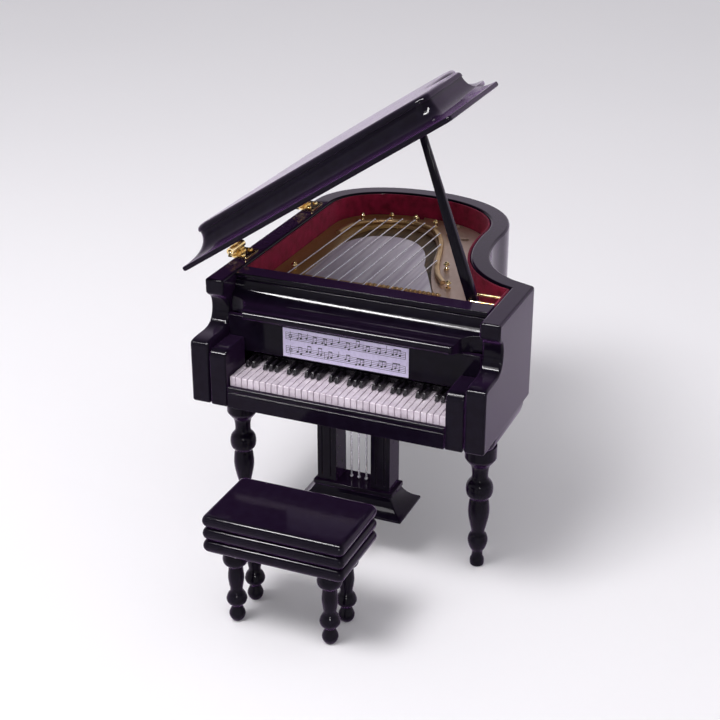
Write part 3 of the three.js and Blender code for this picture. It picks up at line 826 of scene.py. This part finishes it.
# ---- legs and lyre -------------------------------------------------------------------------------
LEG_TOP = cad_box("leg_rear")[5]
PIANO_LEG = [
    (2.3, 0), (2.75, 0.5), (2.8, 2.6), (2.25, 4), (2.2, 6.2), (3.3, 8.4), (3.95, 11.2), (3.5, 13.5),
    (2.6, 15), (3.2, 18), (4.0, 22), (4.2, 25), (3.9, 28.5), (3.6, 30.2),
    (4.9, 31.8), (5.35, 34.2), (4.9, 36.8), (3.35, 39), (3.2, 41.6), (3.7, 44.4),
    (5.3, 46.6), (6.1, 47.9), (6.2, 49), (6.2, LEG_TOP),
]
for name in ("front_left", "front_right", "rear"):
    leg = turned(PIANO_LEG, centre_of(*cad_box(f"leg_{name}")[:4]))
    piece(f"turned_leg_{name}", leg, LACQUER, "piano", [f"leg_{name}"], sharp=50)

for name in ("left", "right", "rear"):
    x0, x1, y0, y1, z0, z1 = cad_box(f"leg_block_{name}")
    half_x, half_y, centre = (x1 - x0) / 2, (y1 - y0) / 2, centre_of(x0, x1, y0, y1)
    swell = bezier((5, z0), (1.6, z0 + 0.4), (0.4, z1 - 4), (0, z1 - 1.2), 12)
    rings = []
    for step, z in swell + [(0, z1 - 1.2), (0, z1)]:
        rings.append([(x, y, z) for x, y in rounded_rectangle(half_x - step, half_y - step, 3.2, centre, 6)])
    piece(f"block_{name}", loft(rings), LACQUER, "piano", [f"leg_block_{name}"], bevel=0.3)

x0, x1, y0, y1, z0, z1 = cad_box("lyre_base")
lyre_centre = centre_of(x0, x1, y0, y1)
flare = [(22.7, 11.4, z0), (22.7, 11.4, z0 + 0.9)]
flare += bezier(
    (22.2, 10.9, z0 + 1.2), (19.6, 8.7, z0 + 2.4), (17.6, 6.9, z0 + 4.4), (16.3, 5.9, z0 + 7.2), 14,
)
flare += [(16.3, 5.9, z0 + 7.2), (16.9, 6.3, z0 + 7.5), (16.9, 6.3, z1)]
lyre = loft([[(x, y, z) for x, y in rounded_rectangle(a, b, 0.5, lyre_centre, 3)] for a, b, z in flare])
piece("lyre_foot", lyre, LACQUER, "piano", ["lyre_base"], bevel=0.2)

for name in ("left", "right"):
    x0, x1, y0, y1, z0, z1 = cad_box(f"lyre_post_{name}")
    grooves = []
    for share in (0.28, 0.72):
        x = x0 + share * (x1 - x0)
        grooves.append(box(x - 0.35, x + 0.35, y0 - 1, y0 + 0.35, z0 + 2, z1 - 2))
    column = cut(box(x0, x1, y0, y1, z0, z1), *grooves)
    piece(f"lyre_column_{name}", column, LACQUER, "piano", [f"lyre_post_{name}"], bevel=0.25)

for name in ("left", "middle", "right"):
    x0, x1, y0, y1, z0, z1 = cad_box(f"pedal_rod_{name}")
    x, y = centre_of(x0, x1, y0, y1)
    parts = [rod((x, y, z0), (x, y, z1), 0.38), ball((x, y, z0 + 0.6), 0.7, 0.8)]
    piece(f"rod_{name}", merge(*parts), SILVER, "piano", [f"pedal_rod_{name}"])
    x0, x1, y0, y1, z0, z1 = cad_box(f"pedal_{name}")
    x = (x0 + x1) / 2
    plan = arc((x, y0 + 1.1), 1.1, 180, 360, 12)
    plan += [(x + 0.75, y0 + 3.2), (x + 0.6, y1), (x - 0.6, y1), (x - 0.75, y0 + 3.2)]
    piece(f"pedal_plate_{name}", slab(plan, z0, z1), BRASS, "piano", [f"pedal_{name}"], bevel=0.25)

# ---- the prop stick ------------------------------------------------------------------------------
WIRE = 0.45


def leaning(x, y, z):
    """Turns a point of the upright stick to its lean about the staple's bar."""
    c, s = math.cos(PROP_LEAN), math.sin(PROP_LEAN)
    return PROP[0] + x * c - z * s, PROP[1] + y, PROP[2] + x * s + z * c


TIP_CLEARANCE = 0.35
reach = (
    LID_OFFSET - TIP_CLEARANCE
    + (PROP[0] - HINGE_X) * math.sin(LID_ANGLE) - (PROP[2] - HINGE_Z) * math.cos(LID_ANGLE)
)
stick_length = reach / math.cos(LID_ANGLE - PROP_LEAN)
stick = []
for half, z in [(1.5, -2.4), (1.95, -2.1), (2.1, -1.6), (2.1, 8), (1.34, stick_length - 1.4),
                (1.15, stick_length - 0.9), (0.8, stick_length - 0.75)]:
    stick.append([(x, y, z) for x, y in rounded_rectangle(half, half * 0.8, half * 0.35, steps=4)])
stick_hole = rod((0, -5, 0), (0, 5, 0), WIRE + 0.1, 20)
stick_shape = cut(moved(loft(stick), leaning), moved(stick_hole, leaning))
piece("stick", stick_shape, LACQUER, "prop", ["prop_stick"], bevel=0.12, segments=2)

bar_x_place = PROP[0]
wall_x = cad_box("prop_staple")[1]
staple_reach = 3.8
corner = 1.3
staple = [(wall_x, -staple_reach), (bar_x_place + corner, -staple_reach)]
staple += bezier(
    (bar_x_place + corner, -staple_reach), (bar_x_place + 0.3, -staple_reach),
    (bar_x_place, -staple_reach + 0.3), (bar_x_place, corner - staple_reach), 6,
)[1:]
staple += [(bar_x_place, corner - staple_reach)]
staple += [(x, -y) for x, y in reversed(staple)]
staple_path = [(x, PROP[1] + y, PROP[2]) for x, y in staple]
staple_wire = sweep(staple_path, circle(WIRE, 14))
piece("wire_staple", staple_wire, BRASS, "piano", ["prop_staple"], sharp=60)
x0, x1, y0, y1, z0, z1 = cad_box("prop_socket")
piece("stick_socket", box(x0, x1, y0, y1, z0, z1), LACQUER, "piano", ["prop_socket"], bevel=0.6)

# ---- the lid -------------------------------------------------------------------------------------
lid_edge = inset(grand_outline(LID_FRONT), -LID_OVERHANG)
quarter = [math.pi / 2 * i / 5 for i in range(6)]
lid_rise = (
    [(1.2, 0)]
    + [(0.8 - 0.8 * math.sin(a), 0.8 - 0.8 * math.cos(a)) for a in quarter]
    + [(0.6 - 0.6 * math.cos(a), LID_LIP - 0.6 + 0.6 * math.sin(a)) for a in quarter]
    + bezier((1.0, LID_LIP), (5.2, LID_LIP + 0.5), (8.4, LID_LIP + 2.6), (8.5, BEAD_FOOT), 18)
    + [(8.5, BEAD_FOOT), (8.25, BEAD_FOOT + 0.15)]
    + bezier(
        (8.2, BEAD_FOOT + 0.3), (8.1, BEAD_FOOT + 1.6),
        (8.8, LID_THICKNESS - 0.2), (10.2, LID_THICKNESS), 10,
    )
    + [(10.2, LID_THICKNESS), (10.7, LID_THICKNESS)]
)


def lid_ring(step):
    """The lid's outline moved in by step, with rounded front corners, more so on the raised panel."""
    ring = inset(lid_edge, step)
    radius = 1.6 + 0.42 * step
    right, front = ring[0]
    left = ring[-1][0]
    right_corner = arc((right - radius, front + radius), radius, -90, 0, 8)
    left_corner = arc((left + radius, front + radius), radius, 180, 270, 8)
    return right_corner + ring[1:-1] + left_corner


lid = loft([[tilted(x, y, LID_OFFSET + z) for x, y in lid_ring(step)] for step, z in lid_rise])
piece("lid_panel", lid, LACQUER, "lid", ["lid"], sharp=40)

# ---- the hinges ----------------------------------------------------------------------------------
LEAF = 0.8
LEAF_BACK, LEAF_REACH = -0.9, 7.6
HALF_LEAF = 5.5
LEAF_CORNER = 1.2
KNUCKLE = 1.5
MIDDLE_KNUCKLE = 1.6
OUTER_KNUCKLE = 1.9
WEB = 0.9
PIN = 0.55
SCREW_X, SCREW_Y = 4.6, 3.2


def leaf_plate(z0):
    """A hinge leaf with rounded outer corners."""
    x, y = LEAF_REACH - LEAF_CORNER, HALF_LEAF - LEAF_CORNER
    plan = (
        [(LEAF_BACK, -HALF_LEAF), (x, -HALF_LEAF)] + arc((x, -y), LEAF_CORNER, -90, 0, 5)
        + arc((x, y), LEAF_CORNER, 0, 90, 5) + [(LEAF_BACK, HALF_LEAF)]
    )
    return slab(plan, z0, z0 + LEAF)


def knuckle(y0, y1):
    """A barrel round the pin."""
    barrel = sweep([(0, y0, 0), (0, y1, 0)], circle(KNUCKLE, 28))
    return cut(barrel, sweep([(0, y0 - 1, 0), (0, y1 + 1, 0)], circle(PIN + 0.09, 20)))


def screw_heads(z, up=1):
    """Two round-headed screws with slots that face up or down."""
    heads = []
    for y in (-SCREW_Y, SCREW_Y):
        dome = ball((SCREW_X, y, z), 1.05, 0.75, 20, 10)
        slot_z = z + up * 0.55
        groove = box(SCREW_X - 1.3, SCREW_X + 1.3, y - 0.14, y + 0.14, slot_z - 0.5, slot_z + 0.5)
        heads.append(cut(dome, groove))
    return heads


case_leaf_z = RIM_TOP + GAP - HINGE_Z
lid_leaf_z = LID_OFFSET - GAP - LEAF
for name in ("front", "rear"):
    hinge_y = sum(cad_box(f"hinge_{name}_pin")[2:4]) / 2

    def on_case(x, y, z, hinge_y=hinge_y):
        return HINGE_X + x, hinge_y + y, HINGE_Z + z

    def on_lid(x, y, z, hinge_y=hinge_y):
        return tilted(HINGE_X + x, hinge_y + y, z)

    case_leaf = merge(
        leaf_plate(case_leaf_z),
        knuckle(-HALF_LEAF, -OUTER_KNUCKLE), knuckle(OUTER_KNUCKLE, HALF_LEAF),
        box(-WEB, WEB, -HALF_LEAF, -OUTER_KNUCKLE, case_leaf_z, -WEB),
        box(-WEB, WEB, OUTER_KNUCKLE, HALF_LEAF, case_leaf_z, -WEB),
        *screw_heads(case_leaf_z + LEAF + 0.1),
    )
    piece(f"{name}_case_leaf", moved(case_leaf, on_case), BRASS, "piano",
          [f"hinge_{name}_case_leaf"], bevel=0.12, segments=2)
    pin_end = HALF_LEAF + 0.3
    pin = merge(
        rod((0, -pin_end, 0), (0, pin_end, 0), PIN),
        ball((0, -HALF_LEAF - 0.2, 0), 0.8), ball((0, HALF_LEAF + 0.2, 0), 0.8),
    )
    piece(f"{name}_hinge_pin", moved(pin, on_case), BRASS, "piano", [f"hinge_{name}_pin"])
    lid_leaf = merge(
        leaf_plate(lid_leaf_z), knuckle(-MIDDLE_KNUCKLE, MIDDLE_KNUCKLE),
        box(-WEB, WEB, -MIDDLE_KNUCKLE, MIDDLE_KNUCKLE, WEB, lid_leaf_z + LEAF),
        *screw_heads(lid_leaf_z - 0.1, -1),
    )
    piece(f"{name}_lid_leaf", moved(lid_leaf, on_lid), BRASS, "lid",
          [f"hinge_{name}_lid_leaf"], bevel=0.12, segments=2)

# ---- the bench -----------------------------------------------------------------------------------
SEAT_CORNER = 1.9
SEAT_EDGE = 1.8
SEAT_CAP = 2.4
for name in ("lower", "middle", "upper"):
    x0, x1, y0, y1, z0, z1 = cad_box(f"bench_slab_{name}")
    half_x, half_y, centre = (x1 - x0) / 2, (y1 - y0) / 2, centre_of(x0, x1, y0, y1)
    middle, half_z = (z0 + z1) / 2, (z1 - z0) / 2
    rings = []
    for i in range(15):
        a = -math.pi / 2 + math.pi * i / 14
        step = SEAT_EDGE * (1 - math.cos(a))
        ring = rounded_rectangle(half_x - step, half_y - step, SEAT_CORNER, centre, 6)
        rings.append([(x, y, middle + half_z * math.sin(a)) for x, y in ring])
    flat = rounded_rectangle(half_x - SEAT_CAP, half_y - SEAT_CAP, SEAT_CORNER, centre, 6)
    rings = [[(x, y, z0) for x, y in flat]] + rings + [[(x, y, z1) for x, y in flat]]
    piece(f"seat_{name}", loft(rings), LACQUER, "bench", [f"bench_slab_{name}"], sharp=60)

BENCH_LEG_TOP = cad_box("bench_leg_front_left")[5]
BENCH_LEG = [
    (2.0, 0), (2.8, 1.2), (3.05, 2.9), (2.2, 5.2), (2.1, 6.2), (3.4, 7.5), (3.9, 9.1), (3.3, 11),
    (2.35, 12.8), (2.7, 15.4), (3.0, 18.4), (2.7, 22.4), (2.9, 23.4), (4.3, 24.7), (4.7, 26.5),
    (4.2, 28.4), (3.9, 29.2),
    (3.9, BENCH_LEG_TOP),
]
for name in ("front_left", "front_right", "rear_left", "rear_right"):
    leg = turned(BENCH_LEG, centre_of(*cad_box(f"bench_leg_{name}")[:4]))
    piece(f"stool_leg_{name}", leg, LACQUER, "bench", [f"bench_leg_{name}"], sharp=50)

# ---- floor, lights and camera --------------------------------------------------------------------


def floor_material():
    made, tree, bsdf = shader("floor", (0.93, 0.925, 0.94), 0.85, Specular_IOR_Level=0.1)
    vary_color(tree, bsdf, noise(tree, 3), (0.925, 0.92, 0.935), (0.935, 0.93, 0.945))
    return made


bpy.ops.mesh.primitive_plane_add(size=12, location=(0, 0, -0.0001))
floor = bpy.context.object
floor.name = "floor"
floor.data.materials.append(floor_material())
floor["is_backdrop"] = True

world = bpy.data.worlds.new("studio")
world.use_nodes = True
world_tree = world.node_tree
background = world_tree.nodes["Background"]
background.inputs["Color"].default_value = (0.98, 0.96, 1.0, 1)
direction = world_tree.nodes.new("ShaderNodeTexCoord")
split = world_tree.nodes.new("ShaderNodeSeparateXYZ")
height = world_tree.nodes.new("ShaderNodeMapRange")
height.inputs["From Min"].default_value = 0.1
height.inputs["From Max"].default_value = 0.75
height.inputs["To Min"].default_value = 1.15
height.inputs["To Max"].default_value = 0.42
world_tree.links.new(direction.outputs["Generated"], split.inputs["Vector"])
world_tree.links.new(split.outputs["Z"], height.inputs["Value"])
world_tree.links.new(height.outputs["Result"], background.inputs["Strength"])
bpy.context.scene.world = world


def softbox(name, place, target, size, power, mirror_only=False):
    """An area light of width x height metres, with its place and target in the piano's millimetres.
    One that is mirror_only makes highlights on the gloss and leaves matt surfaces as they are."""
    data = bpy.data.lights.new(name, "AREA")
    data.shape = "RECTANGLE"
    data.size, data.size_y = size
    data.energy = power
    data.color = (1, 0.98, 1)
    light = bpy.data.objects.new(name, data)
    bpy.context.scene.collection.objects.link(light)
    light.location = at(*place)
    light.rotation_mode = "QUATERNION"
    light.rotation_quaternion = (at(*target) - at(*place)).to_track_quat("-Z", "Y")
    light.visible_diffuse = not mirror_only


softbox("overhead", (-250, -350, 950), (0, 20, 80), (0.4, 0.4), 6.5)
softbox("key", (-384, -435, 920), (-10, 20, 100), (0.09, 0.4), 20, True)
softbox("strip", (20, -200, 1000), (0, 30, 90), (0.5, 0.12), 24, True)
softbox("front", (330, -760, 420), (0, 20, 80), (0.06, 0.09), 3, True)

LENS = 74.87
CAMERA_DISTANCE = 0.5915
LOOK_AT = (-4.0, 36, 73.9)
AZIMUTH, ELEVATION = math.radians(22.94), math.radians(24.81)
camera_data = bpy.data.cameras.new("camera")
camera_data.sensor_width = 36
camera_data.lens = LENS
camera_data.clip_start, camera_data.clip_end = 0.01, 50
camera = bpy.data.objects.new("camera", camera_data)
bpy.context.scene.collection.objects.link(camera)
level = math.cos(ELEVATION)
back = Vector((math.sin(AZIMUTH) * level, -math.cos(AZIMUTH) * level, math.sin(ELEVATION)))
camera.location = at(*LOOK_AT) + back * CAMERA_DISTANCE
camera.rotation_mode = "QUATERNION"
camera.rotation_quaternion = (-back).to_track_quat("-Z", "Y")
bpy.context.scene.camera = camera
bpy.context.scene.view_settings.view_transform = "Standard"

# ---- the sizes of the visible pieces -------------------------------------------------------------
low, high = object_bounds()
